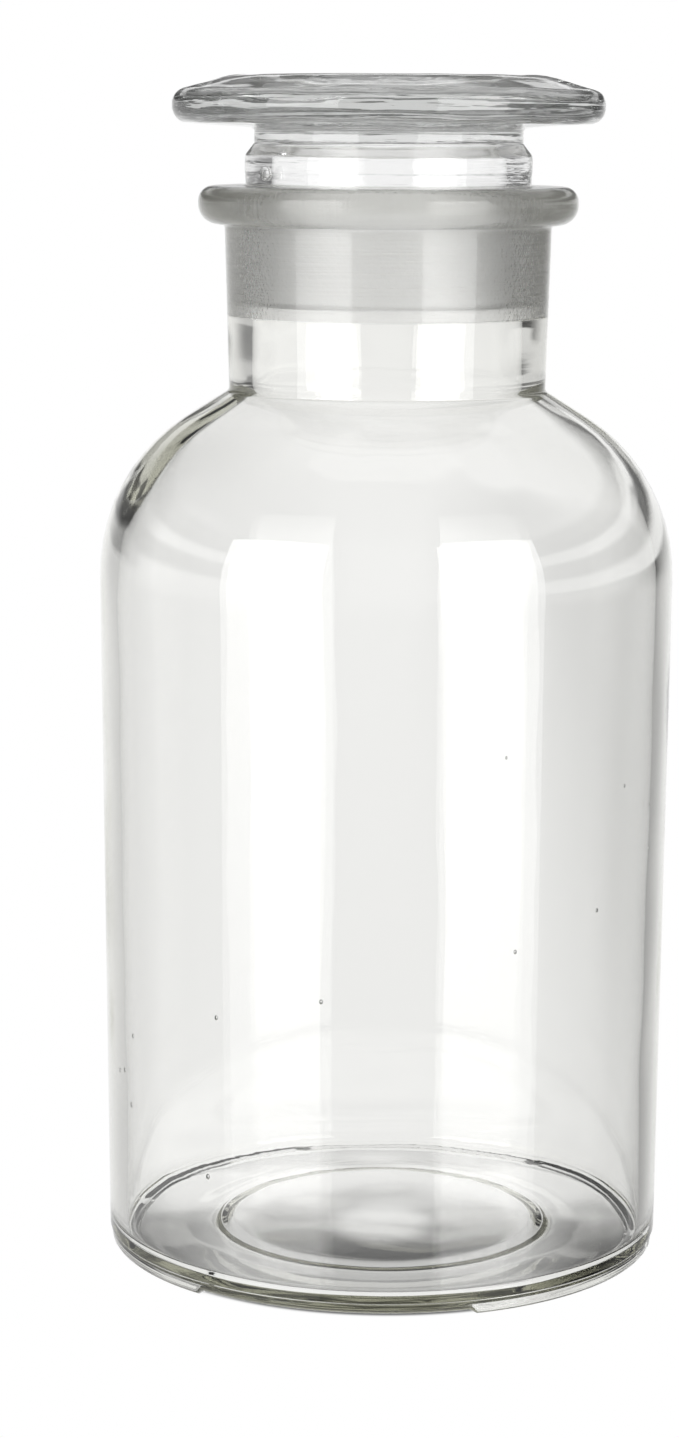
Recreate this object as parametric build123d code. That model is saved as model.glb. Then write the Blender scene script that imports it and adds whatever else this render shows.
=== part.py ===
from build123d import *
import os

# Specimen jar: a wide-mouth glass bottle closed by a ground-glass stopper.
# Millimetres. Z runs up the axis of the jar, and the origin is on that axis, on the
# surface that the feet stand on. Profile points are pairs of radius and height.

# ---- Driving dimensions ------------------------------------------------------------
TOTAL_HEIGHT = 210.0            # standing surface to the top of the stopper

BODY_RADIUS = 51.25             # where the lines of wall and shoulder cone cross
HEEL_RADIUS = 49.95             # the body is slightly narrower at its foot
WALL = 3.0                      # body and shoulder glass
SHOULDER_FILLET = 33.0          # outer radius of the turn from wall to shoulder
SHOULDER_CORNER_HEIGHT = 140.4  # height of that crossing

NECK_RADIUS = 28.0              # at the root of the neck
NECK_TOP_RADIUS = 28.8          # just under the lip
NECK_ROOT_HEIGHT = 154.9        # where the lines of shoulder cone and neck cross
NECK_ROOT_FILLET = 1.0          # a clear crease, where the neck mould meets the body mould
LIP_RADIUS = 33.4
LIP_UNDERSIDE = 184.0
LIP_TOP = 190.6

FOOT_HEIGHT = 0.8               # how far the base is raised between the feet
FOOT_INNER_RADIUS = 44.5
FOOT_SLOPE = 1.0                # width of a foot's sloping inner side
FOOT_OVERLAP = 0.6              # how far a foot reaches into the glass above it
FOOT_END_FILLET = 0.5
FOOT_ANGLE = 62.0               # arc covered by each foot, degrees
FOOT_COUNT = 3
FIRST_FOOT_ANGLE = -71.5        # start of the foot at the front right, from +X, degrees

FLOOR_HEIGHT = 3.2              # where the lines of inner floor and wall cross
FLOOR_CROWN = 1.2               # rise of the inner floor towards the axis
FLOOR_DOME_RADIUS = 20.0        # where the rising floor levels out
FLOOR_DOME_FILLET = 400.0
INNER_HEEL_FILLET = 2.0
UNDERSIDE_HEIGHT = 1.0          # underside between punt and feet
PUNT_HEIGHT = 1.9               # raised centre of the underside
PUNT_RADIUS = 27.2
PUNT_STEP = 2.5                 # width of the slope round the punt
PUNT_FILLET = 2.0
PARTING_HEIGHT = 2.6            # seam between the base mould and the body mould
PARTING_STEP = 0.35             # the base mould's radius is smaller by this

# Ground joint: taper of 1 in 10 on the diameter, on the plug and in the mouth.
TAPER_PER_MM = 0.05             # change of radius for each millimetre of height
PLUG_BOTTOM = 170.0
PLUG_BOTTOM_RADIUS = 24.05
GROUND_TOP = 192.8              # the ground band of the plug shows above the lip
GROUND_BOTTOM = 168.2           # the ground band in the neck runs below the plug
JOINT_CLEARANCE = 0.05          # radial, between plug and mouth
BORE_RADIUS = 23.85             # moulded bore under the ground band
GROUND_STEP = 0.3               # height of the small step at the end of a ground band

COLLAR_RADIUS = 25.25           # clear part of the plug above its ground band
COLLAR_TOP = 195.9
STOPPER_NECK_RADIUS = 23.6
STOPPER_NECK_BOTTOM = 198.0
DISC_RADIUS = 38.1
DISC_UNDERSIDE = 200.5          # at the neck of the stopper
DISC_EDGE_UNDERSIDE = 201.5
DISC_EDGE_TOP = 207.1
DISC_FLAT_RADIUS = 27.5         # flat top, inside the sloping rim
HOLLOW_TOP = 198.0
HOLLOW_CROWN = 0.3              # rise of the hollow's ceiling at the axis
HOLLOW_TOP_RADIUS = 20.6
HOLLOW_BOTTOM_RADIUS = 21.0

HEEL_EDGE_RADIUS = HEEL_RADIUS - PARTING_STEP


def plug_radius(height):
    """Radius of the plug's ground surface at a height."""
    return PLUG_BOTTOM_RADIUS + TAPER_PER_MM * (height - PLUG_BOTTOM)


def mouth_radius(height):
    """Radius of the ground surface inside the neck at a height."""
    return plug_radius(height) + JOINT_CLEARANCE


def upright_face(points, fillets):
    """Face in the XZ plane: a filleted open outline, closed by a straight line."""
    outline = FilletPolyline(*points, radius=fillets)
    closing = Line(points[-1], points[0])
    return Plane.XZ * make_face(outline.edges() + closing.edges())


def turned(corners):
    """Solid of revolution about Z.

    corners is a list of (radius, height, corner fillet) that starts and ends on the axis.
    """
    points = [(radius, height) for radius, height, _ in corners]
    fillets = [fillet for _, _, fillet in corners[1:-1]]
    return revolve(upright_face(points, fillets), Axis.Z, 360)


def shoulder_slope():
    """Fall of the shoulder cone for each millimetre of radius."""
    return (NECK_ROOT_HEIGHT - SHOULDER_CORNER_HEIGHT) / (BODY_RADIUS - NECK_RADIUS)


def inner_shoulder_height(radius):
    """Height of the inside of the shoulder cone, one wall thickness in from the outside."""
    outside = NECK_ROOT_HEIGHT - shoulder_slope() * (radius - NECK_RADIUS)
    return outside - WALL * (1 + shoulder_slope() ** 2) ** 0.5


def bottle_shell():
    """The bottle without its feet, as one turned outline from underside to inner floor."""
    underside = [
        (0, PUNT_HEIGHT, None),
        (PUNT_RADIUS, PUNT_HEIGHT, PUNT_FILLET),
        (PUNT_RADIUS + PUNT_STEP, UNDERSIDE_HEIGHT, PUNT_FILLET),
        (FOOT_INNER_RADIUS, UNDERSIDE_HEIGHT, 0.6),
        (FOOT_INNER_RADIUS + FOOT_SLOPE, FOOT_HEIGHT, 0.3),
        (HEEL_EDGE_RADIUS, FOOT_HEIGHT, 1.3),
    ]
    outside = [
        (HEEL_EDGE_RADIUS, PARTING_HEIGHT, 0.3),
        (HEEL_RADIUS, PARTING_HEIGHT + PARTING_STEP, 0.3),
        (BODY_RADIUS, SHOULDER_CORNER_HEIGHT, SHOULDER_FILLET),
        (NECK_RADIUS, NECK_ROOT_HEIGHT, NECK_ROOT_FILLET),
        (NECK_TOP_RADIUS, LIP_UNDERSIDE, 0.8),
        (LIP_RADIUS, LIP_UNDERSIDE, 3.4),
        (LIP_RADIUS, LIP_TOP, 2.6),
    ]
    mouth = [
        (mouth_radius(LIP_TOP), LIP_TOP, 0.6),
        (mouth_radius(GROUND_BOTTOM), GROUND_BOTTOM, 0.1),
        (BORE_RADIUS, GROUND_BOTTOM - GROUND_STEP, 0.1),
    ]
    inner_body_radius = BODY_RADIUS - WALL
    inside = [
        (BORE_RADIUS, inner_shoulder_height(BORE_RADIUS), 6.0),
        (inner_body_radius, inner_shoulder_height(inner_body_radius), SHOULDER_FILLET - WALL),
        (HEEL_RADIUS - WALL, FLOOR_HEIGHT, INNER_HEEL_FILLET),
        (FLOOR_DOME_RADIUS, FLOOR_HEIGHT + FLOOR_CROWN, FLOOR_DOME_FILLET),
        (0, FLOOR_HEIGHT + FLOOR_CROWN, None),
    ]
    return turned(underside + outside + mouth + inside)


def foot():
    """One foot: an arc-shaped pad under the heel with rounded ends, let into the glass above."""
    top = FOOT_HEIGHT + FOOT_OVERLAP
    corners = [
        (FOOT_INNER_RADIUS, top),
        (FOOT_INNER_RADIUS + FOOT_SLOPE, 0),
        (HEEL_EDGE_RADIUS, 0),
        (HEEL_EDGE_RADIUS, top),
    ]
    pad = revolve(upright_face(corners, [0.6, 1.2]), Axis.Z, FOOT_ANGLE)
    end_faces = pad.faces().filter_by(GeomType.PLANE).filter_by(
        lambda face: abs(face.normal_at().Z) < 0.5
    )
    visible_edges = [
        edge for face in end_faces for edge in face.edges() if edge.center().Z < top - 0.01
    ]
    return fillet(visible_edges, FOOT_END_FILLET)


def bottle():
    """Bottle with its feet, one solid of glass."""
    glass = bottle_shell()
    for index in range(FOOT_COUNT):
        turn = FIRST_FOOT_ANGLE + index * 360 / FOOT_COUNT
        glass += Rot(0, 0, turn) * foot()
    return glass


def stopper():
    """Stopper: grip disc, short neck and hollow plug, one solid of glass."""
    plug = [
        (0, HOLLOW_TOP, None),
        (HOLLOW_TOP_RADIUS, HOLLOW_TOP - HOLLOW_CROWN, 1.8),
        (HOLLOW_BOTTOM_RADIUS, PLUG_BOTTOM, 1.0),
        (plug_radius(PLUG_BOTTOM), PLUG_BOTTOM, 1.0),
        (plug_radius(GROUND_TOP), GROUND_TOP, 0.05),
        (COLLAR_RADIUS, GROUND_TOP + GROUND_STEP, 0.1),
        (COLLAR_RADIUS, COLLAR_TOP, 1.2),
        (STOPPER_NECK_RADIUS, STOPPER_NECK_BOTTOM, 1.2),
    ]
    disc = [
        (STOPPER_NECK_RADIUS, DISC_UNDERSIDE, 0.9),
        (DISC_RADIUS, DISC_EDGE_UNDERSIDE, 2.9),
        (DISC_RADIUS, DISC_EDGE_TOP, 2.9),
        (DISC_FLAT_RADIUS, TOTAL_HEIGHT, 16.0),
        (0, TOTAL_HEIGHT, None),
    ]
    return turned(plug + disc)


PARTS = {"bottle": bottle, "stopper": stopper}

os.makedirs("parts", exist_ok=True)
for name, make in PARTS.items():
    export_step(make(), f"parts/{name}.step")
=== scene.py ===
import math

import bmesh
import bpy
from mathutils import Matrix, Vector, noise


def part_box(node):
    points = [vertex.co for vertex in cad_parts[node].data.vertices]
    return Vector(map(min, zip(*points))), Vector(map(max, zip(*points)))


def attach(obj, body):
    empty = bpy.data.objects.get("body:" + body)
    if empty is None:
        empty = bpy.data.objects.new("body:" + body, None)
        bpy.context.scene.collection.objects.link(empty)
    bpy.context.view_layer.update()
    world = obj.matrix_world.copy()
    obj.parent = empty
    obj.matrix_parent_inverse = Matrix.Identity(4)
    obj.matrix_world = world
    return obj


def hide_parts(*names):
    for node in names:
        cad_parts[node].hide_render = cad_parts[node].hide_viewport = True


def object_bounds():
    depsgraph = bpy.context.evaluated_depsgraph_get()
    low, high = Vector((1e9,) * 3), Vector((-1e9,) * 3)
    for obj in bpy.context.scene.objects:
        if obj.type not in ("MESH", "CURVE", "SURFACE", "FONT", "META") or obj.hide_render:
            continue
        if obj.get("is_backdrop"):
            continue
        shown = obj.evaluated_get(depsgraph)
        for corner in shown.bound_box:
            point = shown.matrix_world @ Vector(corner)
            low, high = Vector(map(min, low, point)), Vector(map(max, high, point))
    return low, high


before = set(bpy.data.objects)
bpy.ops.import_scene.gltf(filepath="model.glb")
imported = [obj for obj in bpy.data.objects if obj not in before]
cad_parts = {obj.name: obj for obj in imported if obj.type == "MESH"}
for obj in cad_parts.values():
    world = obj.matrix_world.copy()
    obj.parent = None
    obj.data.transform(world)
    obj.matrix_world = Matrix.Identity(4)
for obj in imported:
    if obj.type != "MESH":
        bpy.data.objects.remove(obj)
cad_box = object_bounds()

# Specimen jar: a blown glass bottle and a pressed glass stopper, both as fine turned meshes
# with the small unevenness of real glass, and a bright studio around them.
# Metres, except for outlines, whose corners are (radius, height, fillet) in millimetres.

MM = 0.001

# ---- Sizes from the frame, in millimetres ------------------------------------------
bottle_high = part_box("bottle")[1]
stopper_low, stopper_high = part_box("stopper")
TOTAL_HEIGHT = stopper_high[2] / MM
LIP_TOP = bottle_high[2] / MM
PLUG_BOTTOM = stopper_low[2] / MM
DISC_RADIUS = stopper_high[0] / MM

# ---- Shape of the bottle, millimetres ----------------------------------------------
BODY_CORNER_RADIUS = 51.25      # where the lines of wall and shoulder cross
HEEL_RADIUS = 49.95
PARTING_HEIGHT = 2.6
PARTING_STEP = 0.35
HEEL_EDGE = HEEL_RADIUS - PARTING_STEP
WALL = 3.0
SHOULDER_FILLET = 33.0
SHOULDER_CORNER = 140.4
NECK_RADIUS = 28.0
NECK_TOP_RADIUS = 28.8
NECK_ROOT = 154.9
NECK_ROOT_FILLET = 1.0
LIP_RADIUS = 33.4
LIP_UNDERSIDE = 184.0
BORE_RADIUS = 23.85
GROUND_STEP = 0.3
FLOOR_HEIGHT = 3.2
FLOOR_CROWN = 1.2
FLOOR_DOME_RADIUS = 20.0
FLOOR_DOME_FILLET = 400.0
INNER_HEEL_FILLET = 2.0
UNDERSIDE_HEIGHT = 1.0
PUNT_HEIGHT = 1.9               # raised centre of the underside
PUNT_RADIUS = 27.2
PUNT_STEP = 2.5
PUNT_FILLET = 2.0

FOOT_HEIGHT = 0.8
FOOT_INNER_RADIUS = 44.5
FOOT_SLOPE = 1.0
FOOT_ANGLE = 62.0
FOOT_COUNT = 3
FIRST_FOOT_ANGLE = -71.5        # start of the foot at the front right, degrees from +X
FOOT_END = 1.4                  # degrees over which a foot's end rounds up

# ---- Shape of the ground joint and the stopper, millimetres ------------------------
TAPER = 0.05                    # change of radius for each millimetre of height
PLUG_BOTTOM_RADIUS = 24.05
GROUND_TOP = 192.8
GROUND_BOTTOM = 168.2
JOINT_CLEARANCE = 0.05
COLLAR_RADIUS = 25.25
COLLAR_TOP = 195.9
STOPPER_NECK_RADIUS = 23.6
STOPPER_NECK_BOTTOM = 198.0
DISC_UNDERSIDE = 200.5
DISC_EDGE_UNDERSIDE = 201.5
DISC_EDGE_TOP = 207.1
DISC_FLAT_RADIUS = 27.5
HOLLOW_TOP = 198.0
HOLLOW_CROWN = 0.3
HOLLOW_TOP_RADIUS = 20.6
HOLLOW_BOTTOM_RADIUS = 21.0

# ---- Meshes ------------------------------------------------------------------------
ARC_STEP = math.radians(6)
LATHE_SEGMENTS = 256
BOTTLE_SPACING = 1.6            # longest step along an outline
STOPPER_SPACING = 0.6

# ---- Unevenness of the glass, millimetres ------------------------------------------
WALL_WAVE = 0.10                # inside of the body
SHOULDER_WAVE = 0.14            # more of it inside the shoulder
SKIN_WAVE = 0.015               # outside of the bottle, only inwards
FLOOR_WAVE = 0.12
UNDERSIDE_WAVE = 0.08
UNDERSIDE_RINGS = 0.2           # fine rings just outside the punt
RING_RATE = 3.9                 # radians of those rings for each millimetre of radius
# Places are (from, to, softness of both ends), in degrees from +X or in millimetres of height.
STREAK = 0.5                    # at the left of the shoulder
STREAK_SECTOR = (168, 190, 16)
STREAK_HEIGHTS = (140, 150, 9)
WRINKLES = 0.16                 # under the front of the neck's root
WRINKLE_SECTOR = (-100, -58, 14)
WRINKLE_HEIGHTS = (143, 149, 3)
HOLLOW_WAVE = 0.18
CEILING_WAVE = 0.15
DISC_WAVE = 0.15
DISC_TOP_WAVE = 0.16
DISC_INSET = 0.16               # keeps the waves of the disc inside its outline
SEED_COUNT = 13                 # tiny bubbles in the body's wall
STOPPER_BUBBLE = ((-20.2, -11.5, 192.9), (1.8, 1.3, 1.3))     # centre and radii

# ---- Surfaces ----------------------------------------------------------------------
GLASS_IOR = 1.52
GROUND_ROUGHNESS = 0.43
ROUGHNESS_PATCHES = 0.04        # the ground surface is this much smoother or rougher in patches
LIP_SATIN = 0.28                # share of ground surface on the outside of the lip
RELIEF = 0.0003                 # metres, tallest bump of any surface


# ---- Outlines ----------------------------------------------------------------------
def plug_radius(height):
    return PLUG_BOTTOM_RADIUS + TAPER * (height - PLUG_BOTTOM)


def mouth_radius(height):
    return plug_radius(height) + JOINT_CLEARANCE


def inner_shoulder_height(radius):
    slope = (NECK_ROOT - SHOULDER_CORNER) / (BODY_CORNER_RADIUS - NECK_RADIUS)
    outside = NECK_ROOT - slope * (radius - NECK_RADIUS)
    return outside - WALL * math.hypot(1, slope)


def bottle_corners(foot_drop):
    """Bottle outline, from the underside's centre round the outside to the inner floor.

    foot_drop is 1 where a foot stands and 0 in the gaps between feet.
    """
    base = FOOT_HEIGHT * (1 - foot_drop)
    inner_body = BODY_CORNER_RADIUS - WALL
    return [
        (0, PUNT_HEIGHT, None),
        (PUNT_RADIUS, PUNT_HEIGHT, PUNT_FILLET),
        (PUNT_RADIUS + PUNT_STEP, UNDERSIDE_HEIGHT, PUNT_FILLET),
        (FOOT_INNER_RADIUS, UNDERSIDE_HEIGHT, 0.6),
        (FOOT_INNER_RADIUS + FOOT_SLOPE, base, 0.3),
        (HEEL_EDGE, base, 1.3),
        (HEEL_EDGE, PARTING_HEIGHT, 0.3),
        (HEEL_RADIUS, PARTING_HEIGHT + PARTING_STEP, 0.3),
        (BODY_CORNER_RADIUS, SHOULDER_CORNER, SHOULDER_FILLET),
        (NECK_RADIUS, NECK_ROOT, NECK_ROOT_FILLET),
        (NECK_TOP_RADIUS, LIP_UNDERSIDE, 0.8),
        (LIP_RADIUS, LIP_UNDERSIDE, 3.4),
        (LIP_RADIUS, LIP_TOP, 2.6),
        (mouth_radius(LIP_TOP), LIP_TOP, 0.6),
        (mouth_radius(GROUND_BOTTOM), GROUND_BOTTOM, 0.1),
        (BORE_RADIUS, GROUND_BOTTOM - GROUND_STEP, 0.1),
        (BORE_RADIUS, inner_shoulder_height(BORE_RADIUS), 6.0),
        (inner_body, inner_shoulder_height(inner_body), SHOULDER_FILLET - WALL),
        (HEEL_RADIUS - WALL, FLOOR_HEIGHT, INNER_HEEL_FILLET),
        (FLOOR_DOME_RADIUS, FLOOR_HEIGHT + FLOOR_CROWN, FLOOR_DOME_FILLET),
        (0, FLOOR_HEIGHT + FLOOR_CROWN, None),
    ]


def stopper_corners():
    """Stopper outline, from the top of its hollow round the plug and disc to the top."""
    return [
        (0, HOLLOW_TOP, None),
        (HOLLOW_TOP_RADIUS, HOLLOW_TOP - HOLLOW_CROWN, 1.8),
        (HOLLOW_BOTTOM_RADIUS, PLUG_BOTTOM, 1.0),
        (plug_radius(PLUG_BOTTOM), PLUG_BOTTOM, 1.0),
        (plug_radius(GROUND_TOP), GROUND_TOP, 0.05),
        (COLLAR_RADIUS, GROUND_TOP + GROUND_STEP, 0.1),
        (COLLAR_RADIUS, COLLAR_TOP, 1.2),
        (STOPPER_NECK_RADIUS, STOPPER_NECK_BOTTOM, 1.2),
        (STOPPER_NECK_RADIUS, DISC_UNDERSIDE, 0.9),
        (DISC_RADIUS, DISC_EDGE_UNDERSIDE, 2.9),
        (DISC_RADIUS, DISC_EDGE_TOP, 2.9),
        (DISC_FLAT_RADIUS, TOTAL_HEIGHT, 16.0),
        (0, TOTAL_HEIGHT, None),
    ]


def arc_ends(before, corner, after, fillet):
    """Where a fillet starts and ends, its centre, and the angle it turns through."""
    here = Vector(corner)
    back = (Vector(before) - here).normalized()
    ahead = (Vector(after) - here).normalized()
    turn = math.pi - back.angle(ahead)
    reach = fillet * math.tan(turn / 2)
    middle = (back + ahead).normalized()
    centre = here + middle * (fillet / math.cos(turn / 2))
    return here + back * reach, here + ahead * reach, centre, turn


def rounded_outline(corners, spacing, steps=None):
    """Points along an outline whose corners are rounded by arcs, and the steps in each stretch.

    steps from one outline, given to another of the same kind, keeps their points paired.
    """
    flat = [(radius, height) for radius, height, _ in corners]
    chosen = []
    points = [Vector(flat[0])]

    def step_count(wanted):
        chosen.append(steps[len(chosen)] if steps else wanted)
        return chosen[-1]

    def run_to(end):
        start = points[-1]
        length = (end - start).length
        count = step_count(max(1, math.ceil(length / spacing)))
        points.extend(start.lerp(end, (i + 1) / count) for i in range(count))

    for index in range(1, len(corners) - 1):
        start, end, centre, turn = arc_ends(
            flat[index - 1], flat[index], flat[index + 1], corners[index][2]
        )
        run_to(start)
        count = step_count(max(3, math.ceil(turn / ARC_STEP)))
        spoke = start - centre
        side = spoke.x * (end - centre).y - spoke.y * (end - centre).x
        for i in range(1, count + 1):
            swing = math.copysign(turn, side) * i / count
            points.append(centre + Matrix.Rotation(swing, 2) @ spoke)
    run_to(Vector(flat[-1]))
    return points, chosen


# ---- Turned meshes -----------------------------------------------------------------
def smooth_step(x):
    x = min(1.0, max(0.0, x))
    return x * x * (3 - 2 * x)


def foot_share(angle):
    """1 on a foot, 0 in a gap, and a smooth rise at each foot's rounded ends. Degrees."""
    pitch = 360 / FOOT_COUNT
    along = (angle - FIRST_FOOT_ANGLE) % pitch
    from_middle = abs(along - FOOT_ANGLE / 2)
    from_middle = min(from_middle, pitch - from_middle)
    return smooth_step((FOOT_ANGLE / 2 - from_middle) / FOOT_END)


def outline_normals(points):
    """Unit normals of an outline, pointing out of the glass."""
    normals = []
    for index in range(len(points)):
        before = points[max(0, index - 1)]
        after = points[min(len(points) - 1, index + 1)]
        along = (after - before).normalized()
        normals.append(Vector((along.y, -along.x)))
    return normals


def turned_mesh(name, rings, ground, uneven):
    """Closed turned mesh from one outline for each angle.

    rings is a list of outlines in millimetres, each starting and ending on the axis.
    ground(point, normal) is the share of ground surface at a point of the outline, and
    uneven(place, point, normal) is how far it moves along its normal, in millimetres.
    """
    count = len(rings)
    mesh = bmesh.new()
    layer = mesh.verts.layers.float.new("ground")
    first, last = rings[0][0], rings[0][-1]
    start = mesh.verts.new((0, 0, first.y * MM))
    end = mesh.verts.new((0, 0, last.y * MM))
    columns = []
    for index, outline in enumerate(rings):
        angle = math.tau * index / count
        turn = Matrix.Rotation(angle, 3, "Z")
        normals = outline_normals(outline)
        column = []
        for point, normal in zip(outline[1:-1], normals[1:-1]):
            place = turn @ Vector((point.x, 0, point.y))
            out = turn @ Vector((normal.x, 0, normal.y))
            place += out * uneven(place, point, normal)
            vertex = mesh.verts.new(place * MM)
            vertex[layer] = ground(point, normal)
            column.append(vertex)
        columns.append(column)
    for index in range(count):
        here, there = columns[index], columns[(index + 1) % count]
        mesh.faces.new((start, there[0], here[0]))
        for a, b, c, d in zip(here, there, there[1:], here[1:]):
            mesh.faces.new((a, b, c, d))
        mesh.faces.new((end, here[-1], there[-1]))
    bmesh.ops.recalc_face_normals(mesh, faces=mesh.faces)
    for face in mesh.faces:
        face.smooth = True
    data = bpy.data.meshes.new(name)
    mesh.to_mesh(data)
    mesh.free()
    piece = bpy.data.objects.new(name, data)
    bpy.context.collection.objects.link(piece)
    return piece


def wave(place, size, tall, seed):
    """Smooth noise from -1 to 1. size is its grain in millimetres, and tall stretches it upwards."""
    spot = Vector((place.x / size, place.y / size, place.z / (size * tall)))
    return noise.noise(spot + Vector((seed, seed * 1.7, seed * 0.3)))


def in_band(value, low, high, soft):
    """1 between two limits, falling to 0 over soft on either side."""
    return smooth_step((value - low) / soft + 1) * smooth_step((high - value) / soft + 1)


def thick_shoulder(place, height):
    """How much thicker the glass is in a streak on the left of the shoulder, in millimetres."""
    azimuth = math.degrees(math.atan2(place.y, place.x))
    left = in_band(abs(azimuth), *STREAK_SECTOR)
    tall = in_band(height, *STREAK_HEIGHTS)
    return STREAK * left * tall


def flow_wrinkles(place, height):
    """Wrinkles where the glass flowed under the front of the neck's root, in millimetres."""
    azimuth = math.degrees(math.atan2(place.y, place.x))
    front = in_band(azimuth, *WRINKLE_SECTOR)
    tall = in_band(height, *WRINKLE_HEIGHTS)
    return WRINKLES * front * tall * wave(place, 7, 0.3, 15.0)


def inner_wall_wave(place, height):
    """Unevenness inside body and shoulder, which no mould touched."""
    strength = WALL_WAVE + SHOULDER_WAVE * in_band(height, 125, 158, 15)
    ripple = strength * (wave(place, 22, 2.5, 1.0) + 0.3 * wave(place, 9, 1.5, 2.0))
    return ripple + thick_shoulder(place, height) + flow_wrinkles(place, height)


def underside_wave(place, radius):
    """Unevenness of the underside, with fine rings just outside the punt."""
    middle = in_band(radius, 4, FOOT_INNER_RADIUS - 3, 3)
    rings = UNDERSIDE_RINGS * math.sin(radius * RING_RATE) * in_band(radius, 29, 33, 2)
    return middle * UNDERSIDE_WAVE * wave(place, 14, 1, 4.0) + rings


def disc_wave(place, facing_up):
    """Flow marks of the pressed disc, strongest on its top. facing_up is the normal's height."""
    flow = wave(place, 16, 0.1, 8.0) + 0.8 * wave(place, 9, 1, 12.0)
    flow += 0.4 * wave(place, 7, 0.22, 14.0)
    top = smooth_step((facing_up - 0.5) / 0.4) * (0.5 + 0.5 * wave(place, 7, 1, 13.0))
    return -DISC_INSET - DISC_WAVE * flow - DISC_TOP_WAVE * top


def add_bubbles(piece, bubbles):
    """Add small closed voids inside a piece's glass. bubbles are (centre, radii) in millimetres."""
    mesh = bmesh.new()
    mesh.from_mesh(piece.data)
    for centre, radii in bubbles:
        shape = Matrix.LocRotScale(Vector(centre) * MM, None, Vector(radii) * MM)
        made = bmesh.ops.create_icosphere(mesh, subdivisions=2, radius=1.0, matrix=shape)
        faces = {face for vertex in made["verts"] for face in vertex.link_faces}
        bmesh.ops.reverse_faces(mesh, faces=list(faces))
        for face in faces:
            face.smooth = True
    mesh.to_mesh(piece.data)
    mesh.free()


def body_seeds():
    """Tiny bubbles in the front of the body's wall, as (centre, radii)."""
    seeds = []
    for index in range(SEED_COUNT):
        azimuth = math.radians(-90 + 70 * math.sin(index * 2.4))
        height = 14 + 88 * (index * 0.618 % 1)
        outside = HEEL_RADIUS + (BODY_CORNER_RADIUS - HEEL_RADIUS) * height / SHOULDER_CORNER
        radius = outside - WALL / 2
        size = 0.2 + 0.2 * (index * 0.382 % 1)
        centre = (radius * math.cos(azimuth), radius * math.sin(azimuth), height)
        seeds.append((centre, (size, size, size * 1.4)))
    return seeds


# ---- The two pieces ----------------------------------------------------------------
def make_bottle():
    on_foot, steps = rounded_outline(bottle_corners(1), BOTTLE_SPACING)
    in_gap, _ = rounded_outline(bottle_corners(0), BOTTLE_SPACING, steps)
    rings = []
    for index in range(LATHE_SEGMENTS):
        share = foot_share(360 * index / LATHE_SEGMENTS)
        rings.append([gap.lerp(foot, share) for gap, foot in zip(in_gap, on_foot)])

    def ground(point, normal):
        if point.x < NECK_RADIUS and normal.x < -0.5 and point.y >= GROUND_BOTTOM - 0.05:
            return 1.0
        on_lip = point.y > LIP_UNDERSIDE and point.x > NECK_RADIUS - 4
        return LIP_SATIN * on_lip

    def uneven(place, point, normal):
        radius, height = point
        if normal.x < -0.5 and height > FLOOR_HEIGHT + 1:
            in_mouth = in_band(height, GROUND_BOTTOM, LIP_TOP, 3) > 0
            return 0.0 if in_mouth else inner_wall_wave(place, height)
        if normal.y > 0.3 and radius < 46 and FLOOR_HEIGHT - 1 < height < 20:
            return FLOOR_WAVE * wave(place, 16, 1, 3.0)
        if normal.y < -0.3 and height < 5:
            return underside_wave(place, radius)
        return -SKIN_WAVE * (1 + wave(place, 18, 3, 5.0))

    bottle = turned_mesh("bottle_glass", rings, ground, uneven)
    add_bubbles(bottle, body_seeds())
    bottle.data.materials.append(bottle_material())
    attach(bottle, "bottle")
    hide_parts("bottle")


def make_stopper():
    outline, _ = rounded_outline(stopper_corners(), STOPPER_SPACING)
    rings = [outline] * LATHE_SEGMENTS

    def ground(point, normal):
        on_plug = normal.x > 0.5 and point.x < NECK_RADIUS
        return float(on_plug and point.y <= LIP_TOP)

    def uneven(place, point, normal):
        radius, height = point
        if normal.x < -0.3 and height < HOLLOW_TOP and radius < 22:
            return HOLLOW_WAVE * (wave(place, 14, 1.5, 6.0) + 0.4 * wave(place, 6, 1, 7.0))
        if height > DISC_UNDERSIDE - 0.5:
            return disc_wave(place, normal.y)
        if height > HOLLOW_TOP - 2 and radius < 18:
            return CEILING_WAVE * wave(place, 10, 1, 9.0)
        return 0.0

    stopper = turned_mesh("stopper_glass", rings, ground, uneven)
    add_bubbles(stopper, [STOPPER_BUBBLE])
    stopper.data.materials.append(stopper_material())
    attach(stopper, "stopper")
    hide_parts("stopper")


# ---- Nodes -------------------------------------------------------------------------
def give(links, socket, value):
    """Set an input socket to a number, or link it to another socket."""
    if isinstance(value, (int, float)):
        socket.default_value = value
    else:
        links.new(value, socket)


def faded(nodes, links, value, start_end, levels):
    """Socket that eases from one level to another while value goes from start to end."""
    ease = nodes.new("ShaderNodeMapRange")
    ease.interpolation_type = "SMOOTHSTEP"
    ease.inputs["From Min"].default_value, ease.inputs["From Max"].default_value = start_end
    give(links, ease.inputs["To Min"], levels[0])
    give(links, ease.inputs["To Max"], levels[1])
    links.new(value, ease.inputs["Value"])
    return ease.outputs["Result"]


def stepped(nodes, links, value, stops):
    """Socket that eases through (value, level) pairs. Values run from 0 to 1."""
    steps = nodes.new("ShaderNodeValToRGB")
    steps.color_ramp.interpolation = "EASE"
    ramp = steps.color_ramp.elements
    while len(ramp) < len(stops):
        ramp.new(1.0)
    for stop, (position, level) in zip(ramp, stops):
        stop.position = position
        stop.color = (level, level, level, 1)
    links.new(value, steps.inputs["Fac"])
    return steps.outputs["Color"]


def calculated(nodes, links, operation, *values):
    """Socket with the result of a Math node's operation on numbers or sockets."""
    result = nodes.new("ShaderNodeMath")
    result.operation = operation
    for socket, value in zip(result.inputs, values):
        give(links, socket, value)
    return result.outputs["Value"]


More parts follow.
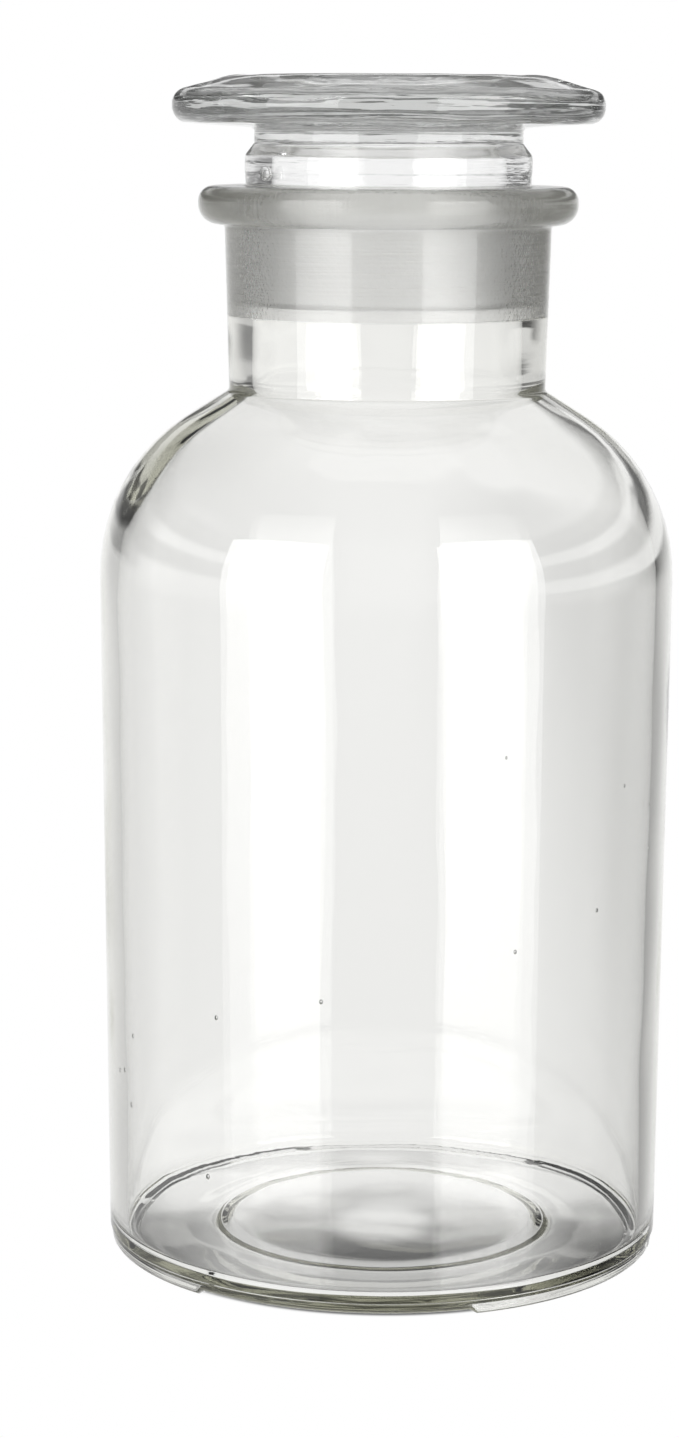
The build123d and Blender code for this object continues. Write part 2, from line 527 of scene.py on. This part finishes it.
def mixed(nodes, links, share, first, second):
    """Socket that goes from first to second as share goes from 0 to 1."""
    mix = nodes.new("ShaderNodeMix")
    links.new(share, mix.inputs["Factor"])
    give(links, mix.inputs["A"], first)
    give(links, mix.inputs["B"], second)
    return mix.outputs["Result"]


def mixed_shader(nodes, links, share, first, second):
    """Shader that goes from first to second as share goes from 0 to 1."""
    mix = nodes.new("ShaderNodeMixShader")
    links.new(share, mix.inputs["Fac"])
    links.new(first, mix.inputs[1])
    links.new(second, mix.inputs[2])
    return mix.outputs["Shader"]


def noise_at(nodes, links, stretch, detail):
    """Noise in the object's own coordinates. stretch is its frequency along X, Y and Z."""
    place = nodes.new("ShaderNodeTexCoord")
    mapping = nodes.new("ShaderNodeMapping")
    mapping.inputs["Scale"].default_value = stretch
    links.new(place.outputs["Object"], mapping.inputs["Vector"])
    texture = nodes.new("ShaderNodeTexNoise")
    texture.inputs["Scale"].default_value = 1.0
    texture.inputs["Detail"].default_value = detail
    links.new(mapping.outputs["Vector"], texture.inputs["Vector"])
    return texture.outputs["Fac"]


# ---- Glass -------------------------------------------------------------------------
def ground_roughness(nodes, links, ground):
    """Roughness that is 0 on clear glass and varies in patches on ground glass."""
    patches = noise_at(nodes, links, (90, 90, 90), 4)
    smooth, rough = GROUND_ROUGHNESS - ROUGHNESS_PATCHES, GROUND_ROUGHNESS + ROUGHNESS_PATCHES
    matt = faded(nodes, links, patches, (0.3, 0.7), (smooth, rough))
    return calculated(nodes, links, "MULTIPLY", ground, matt)


def surface_relief(nodes, links, ground, streaks):
    """Height of the fine relief: on ground glass, on the half ground lip and on clear glass."""
    # Turning marks round the axis, and the fine pits of the grinding grit.
    turning = noise_at(nodes, links, (30, 30, 2200), 3)
    pits = calculated(nodes, links, "MULTIPLY", noise_at(nodes, links, (1300, 1300, 1300), 2), 0.6)
    marks = calculated(nodes, links, "ADD", turning, pits)
    ground_marks = calculated(nodes, links, "MULTIPLY", marks, ground)
    # Upright scratches where the surface is half ground.
    clear = calculated(nodes, links, "SUBTRACT", 1.0, ground)
    half_ground = calculated(nodes, links, "MULTIPLY", ground, clear)
    scratches = noise_at(nodes, links, (1100, 1100, 60), 2)
    scratches = calculated(nodes, links, "MULTIPLY", scratches, half_ground)
    # Flow streaks of moulded glass, on clear surfaces.
    flow = calculated(nodes, links, "MULTIPLY", noise_at(nodes, links, (40, 40, 600), 3), clear)
    flow = calculated(nodes, links, "MULTIPLY", flow, streaks)
    smooth_marks = calculated(nodes, links, "ADD", scratches, flow)
    return calculated(nodes, links, "ADD", ground_marks, smooth_marks)


def glass(name, tint, density, streaks):
    """Clear glass that is matt where the mesh's ground attribute is 1.

    tint and density are its absorption, and streaks is how strong its flow streaks are.
    """
    material = bpy.data.materials.new(name)
    material.use_nodes = True
    nodes, links = material.node_tree.nodes, material.node_tree.links
    shader = nodes["Principled BSDF"]
    shader.inputs["Base Color"].default_value = (1, 1, 1, 1)
    shader.inputs["Transmission Weight"].default_value = 1.0
    shader.inputs["IOR"].default_value = GLASS_IOR

    absorb = nodes.new("ShaderNodeVolumeAbsorption")
    absorb.inputs["Color"].default_value = (*tint, 1)
    absorb.inputs["Density"].default_value = density
    links.new(absorb.outputs["Volume"], nodes["Material Output"].inputs["Volume"])

    attribute = nodes.new("ShaderNodeAttribute")
    attribute.attribute_name = "ground"
    ground = attribute.outputs["Fac"]
    links.new(ground_roughness(nodes, links, ground), shader.inputs["Roughness"])

    bump = nodes.new("ShaderNodeBump")
    bump.inputs["Strength"].default_value = 0.5
    bump.inputs["Distance"].default_value = RELIEF
    links.new(surface_relief(nodes, links, ground, streaks), bump.inputs["Height"])
    links.new(bump.outputs["Normal"], shader.inputs["Normal"])
    return material


def bottle_material():
    return glass("bottle_clear_and_ground", tint=(0.79, 0.79, 0.735), density=60.0, streaks=0.02)


def stopper_material():
    return glass("stopper_clear_and_ground", tint=(0.80, 0.805, 0.80), density=33.0, streaks=0.8)


# ---- Studio ------------------------------------------------------------------------
# Light that has only passed through glass meets a white floor and backdrop on every side.
# Light that has also been reflected meets the room: bright behind the jar, dim at the sides
# and in front, with the softboxes. That difference draws the edges of the glass.
SEEN_WHITE = 1.0
THROUGH_WHITE = 1.0
# Painted fall-off: the near floor, seen through glass, glows less to the right.
PAINTED_THROUGH_RIGHT = 0.82            # the near floor falls off to the right
ROOM_BACK = 1.0
ROOM_FRONT = 0.8
ROOM_FRONT_BELOW = 0.35
ROOM_BELOW = 0.5
# Beside the jar stand pale cards, and behind them dark flags. Left and right levels for the
# directions that the body, the neck and the stopper's disc show, from low to high.
CARDS = [(0.8, 0.05), (1.1, 0.45), (1.2, 1.3)]
FLAGS = [(0.62, 0.35), (0.6, 0.05), (0.25, 0.8)]
HEIGHT_STEPS = [(-0.12, -0.05), (-0.03, -0.01)]
LEFT_TO_RIGHT = (-0.3, 0.3)
TO_FLAGS = (0.15, 0.7)          # share of a direction that points sideways
TO_CARDS = (0.8, 0.97)
# Share of that light by the upward part of its direction: hanging lamps below a bright ceiling.
ROOM_BANDS = [(0.0, 1.0), (0.05, 1.0), (0.10, 0.15), (0.19, 0.2), (0.23, 1.1), (0.28, 1.1),
              (0.32, 0.15), (0.42, 0.3), (0.50, 1.0)]

FLOOR_GAP = 0.0001              # metres between the feet and the floor
FLOOR_HALF_SIZE = 12.0
UNDER_JAR = 0.95                # level of the floor under the jar, for reflected light
JAR_EDGE = (0.050, 0.053)       # metres from the axis
# Painted fall-off of light on the near floor, and where it ends further back.
PAINTED_FALL_RIGHT = (0.0, 0.14)        # metres along X over which the near floor falls off
FALL_BACK = (1.0, 3.4)          # metres along Y over which the floor is white again
# Painted shade of the jar on the floor: brightness at distances from the axis in millimetres.
SHADE_RINGS = [(0, 1.0), (5, 0.9), (12, 0.15), (22, 0.12), (27, 0.65), (38, 0.6),
               (42, 0.35), (44.5, 0.15), (46.2, 0.15), (47.8, 1.0)]
SHADE_REACH = 0.060             # metres from the axis
SHADE_BACK = (-0.02, 0.03)      # metres along Y over which the shade ends
SHADE_SIDES = 0.4               # share of the light left at the left and right of the front half
SIDES_START = (0.026, 0.038)    # metres to the left and right of the axis
SIDES_BACK = (-0.008, 0.012)    # metres along Y
SIDES_END = (0.044, 0.049)      # metres from the axis

SOFTBOX_DISTANCE = 1.3
SOFTBOX_TOP, SOFTBOX_FOOT = 5.2, 0.8      # brightness


def reflected_share(nodes, links):
    """Socket that is 1 for light that has been reflected at least once, else 0."""
    path = nodes.new("ShaderNodeLightPath")
    share = nodes.new("ShaderNodeClamp")
    links.new(path.outputs["Glossy Depth"], share.inputs["Value"])
    return share.outputs["Result"]


def seen_or_through(nodes, links, through):
    """Socket with the white level that the camera sees directly, or through glass."""
    path = nodes.new("ShaderNodeLightPath")
    return mixed(nodes, links, path.outputs["Is Camera Ray"], through, SEEN_WHITE)


def split_up(nodes, links, vector):
    """Sockets with the X, Y and Z of a vector."""
    parts = nodes.new("ShaderNodeSeparateXYZ")
    links.new(vector, parts.inputs["Vector"])
    return parts.outputs["X"], parts.outputs["Y"], parts.outputs["Z"]


def by_height(nodes, links, x, z, levels):
    """Socket with the (left, right) levels of the body, the neck and the top, by direction."""
    result = faded(nodes, links, x, LEFT_TO_RIGHT, levels[0])
    for start_end, pair in zip(HEIGHT_STEPS, levels[1:]):
        above = faded(nodes, links, x, LEFT_TO_RIGHT, pair)
        result = faded(nodes, links, z, start_end, (result, above))
    return result


def painted_jar_shade(nodes, links, x, y, from_axis):
    """Socket with the jar's shade painted on the floor: the share of light left at each place."""
    share = nodes.new("ShaderNodeMapRange")
    share.inputs["From Max"].default_value = SHADE_REACH
    links.new(from_axis, share.inputs["Value"])
    stops = [(radius * MM / SHADE_REACH, level) for radius, level in SHADE_RINGS]
    rings = stepped(nodes, links, share.outputs["Result"], stops)
    rings = faded(nodes, links, y, SHADE_BACK, (rings, 1.0))
    sideways = calculated(nodes, links, "ABSOLUTE", x)
    sides = faded(nodes, links, sideways, SIDES_START, (1.0, SHADE_SIDES))
    sides = faded(nodes, links, y, SIDES_BACK, (sides, 1.0))
    sides = faded(nodes, links, from_axis, SIDES_END, (sides, 1.0))
    return calculated(nodes, links, "MULTIPLY", rings, sides)


def floor_material():
    material = bpy.data.materials.new("floor_white")
    material.use_nodes = True
    nodes, links = material.node_tree.nodes, material.node_tree.links
    nodes.remove(nodes["Principled BSDF"])
    where = nodes.new("ShaderNodeNewGeometry")
    x, y, _ = split_up(nodes, links, where.outputs["Position"])
    distance = nodes.new("ShaderNodeVectorMath")
    distance.operation = "LENGTH"
    links.new(where.outputs["Position"], distance.inputs[0])
    from_axis = distance.outputs["Value"]

    # Painted fall-off: the floor seen through glass glows less to the right of its near part.
    right = faded(nodes, links, x, PAINTED_FALL_RIGHT, (THROUGH_WHITE, PAINTED_THROUGH_RIGHT))
    through = faded(nodes, links, y, FALL_BACK, (right, THROUGH_WHITE))
    white = seen_or_through(nodes, links, through)
    # The jar's shade is painted into the floor's glow, not cast by any light.
    shade = painted_jar_shade(nodes, links, x, y, from_axis)
    shaded = calculated(nodes, links, "MULTIPLY", shade, white)
    reflected = reflected_share(nodes, links)
    glow = nodes.new("ShaderNodeEmission")
    links.new(mixed(nodes, links, reflected, shaded, UNDER_JAR), glow.inputs["Strength"])

    clear = nodes.new("ShaderNodeBsdfTransparent")
    beside_jar = faded(nodes, links, from_axis, JAR_EDGE, (0, 1))
    passing = calculated(nodes, links, "MULTIPLY", reflected, beside_jar)
    both = mixed_shader(nodes, links, passing, glow.outputs["Emission"], clear.outputs["BSDF"])
    links.new(both, nodes["Material Output"].inputs["Surface"])
    return material


def make_floor():
    """Pale floor that glows, with the jar's soft shade painted on it and a painted fall-off to the
    right of its near part. Beyond the jar it is clear to reflected light.
    """
    bpy.ops.mesh.primitive_plane_add(size=2 * FLOOR_HALF_SIZE, location=(0, 0, -FLOOR_GAP))
    floor = bpy.context.object
    floor.name = "floor"
    floor.data.materials.append(floor_material())
    floor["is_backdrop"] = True


def room_light(nodes, links, x, y, z):
    """Socket with the brightness of the room in the direction (x, y, z)."""
    below = faded(nodes, links, z, (-0.8, -0.1), (ROOM_BELOW, ROOM_BACK))
    front = faded(nodes, links, z, (-0.35, 0.1), (ROOM_FRONT_BELOW, ROOM_FRONT))
    room = faded(nodes, links, y, (-0.3, 0.4), (front, below))
    sideways = calculated(nodes, links, "ABSOLUTE", x)
    flags = by_height(nodes, links, x, z, FLAGS)
    room = faded(nodes, links, sideways, TO_FLAGS, (room, flags))
    cards = by_height(nodes, links, x, z, CARDS)
    room = faded(nodes, links, sideways, TO_CARDS, (room, cards))
    # The bands hang behind the jar and at its sides, not in front of it.
    bands = stepped(nodes, links, z, ROOM_BANDS)
    bands = faded(nodes, links, y, (-0.9, -0.4), (1.0, bands))
    return calculated(nodes, links, "MULTIPLY", room, bands)


def make_world():
    world = bpy.data.worlds.new("studio")
    bpy.context.scene.world = world
    world.use_nodes = True
    nodes, links = world.node_tree.nodes, world.node_tree.links
    background = nodes["Background"]
    background.inputs["Color"].default_value = (1, 1, 1, 1)
    direction = nodes.new("ShaderNodeTexCoord")
    x, y, z = split_up(nodes, links, direction.outputs["Generated"])
    white = seen_or_through(nodes, links, THROUGH_WHITE)
    room = room_light(nodes, links, x, y, z)
    level = mixed(nodes, links, reflected_share(nodes, links), white, room)
    links.new(level, background.inputs["Strength"])


def softbox_material(name, foot, top):
    """Glow from SOFTBOX_FOOT at one height to SOFTBOX_TOP at another, for reflected light only."""
    material = bpy.data.materials.new(name)
    material.use_nodes = True
    nodes, links = material.node_tree.nodes, material.node_tree.links
    nodes.remove(nodes["Principled BSDF"])
    where = nodes.new("ShaderNodeTexCoord")
    height = split_up(nodes, links, where.outputs["Object"])[2]
    fade = nodes.new("ShaderNodeMapRange")
    fade.inputs["From Min"].default_value = foot
    fade.inputs["From Max"].default_value = top
    fade.inputs["To Min"].default_value = SOFTBOX_FOOT
    fade.inputs["To Max"].default_value = SOFTBOX_TOP
    links.new(height, fade.inputs["Value"])
    glow = nodes.new("ShaderNodeEmission")
    links.new(fade.outputs["Result"], glow.inputs["Strength"])
    clear = nodes.new("ShaderNodeBsdfTransparent")
    share = reflected_share(nodes, links)
    both = mixed_shader(nodes, links, share, clear.outputs["BSDF"], glow.outputs["Emission"])
    links.new(both, nodes["Material Output"].inputs["Surface"])
    return material


def softbox(name, sides):
    """Glowing panel, seen only in reflections. sides are (azimuth, low, high) of its two sides.

    Azimuth is from the front towards +X, in degrees, and heights are in metres.
    """
    places = []
    for azimuth, low, high in sides:
        turn = math.radians(azimuth)
        side = Vector((math.sin(turn), -math.cos(turn), 0)) * SOFTBOX_DISTANCE
        places.append([side + Vector((0, 0, low)), side + Vector((0, 0, high))])
    (low_a, high_a), (low_b, high_b) = places
    mesh = bpy.data.meshes.new(name)
    mesh.from_pydata([low_a, low_b, high_b, high_a], [], [(0, 1, 2, 3)])
    panel = bpy.data.objects.new(name, mesh)
    bpy.context.collection.objects.link(panel)
    panel.visible_camera = False
    panel.visible_diffuse = False
    panel.data.materials.append(softbox_material(name, low_a.z, high_a.z))
    panel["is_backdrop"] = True


def make_lights():
    softbox("softbox_left", [(-67, -0.55, 0.72), (-25, -0.55, 0.86)])
    softbox("softbox_right", [(24, -0.55, 0.90), (64, -0.55, 0.76)])


# ---- Camera ------------------------------------------------------------------------
CAMERA_DISTANCE = 0.6254
CAMERA_HEIGHT = 0.2032
CAMERA_LENS = 88.2
CAMERA_PITCH = 9.76             # degrees downwards
CAMERA_YAW = 0.75               # degrees towards -X
CAMERA_ROLL = 0.25


def make_camera():
    data = bpy.data.cameras.new("camera")
    data.lens = CAMERA_LENS
    camera = bpy.data.objects.new("camera", data)
    upright = Matrix.Rotation(math.radians(CAMERA_YAW), 4, "Z")
    tilt = Matrix.Rotation(math.radians(90 - CAMERA_PITCH), 4, "X")
    roll = Matrix.Rotation(math.radians(CAMERA_ROLL), 4, "Z")
    spot = Matrix.Translation((0, -CAMERA_DISTANCE, CAMERA_HEIGHT))
    camera.matrix_world = spot @ upright @ tilt @ roll
    bpy.context.collection.objects.link(camera)
    bpy.context.scene.camera = camera


def set_light_paths():
    """Enough bounces for light to cross the walls of bottle and stopper and come out again."""
    scene = bpy.context.scene
    scene.view_settings.view_transform = "Standard"
    scene.cycles.max_bounces = 30
    scene.cycles.transmission_bounces = 30
    scene.cycles.glossy_bounces = 16
    scene.cycles.transparent_max_bounces = 16


make_camera()
make_floor()
make_world()
make_lights()
set_light_paths()
make_bottle()
make_stopper()

boxes = {"cad": cad_box, "visual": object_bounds()}
{name: [list(corner) for corner in box] for name, box in boxes.items()}
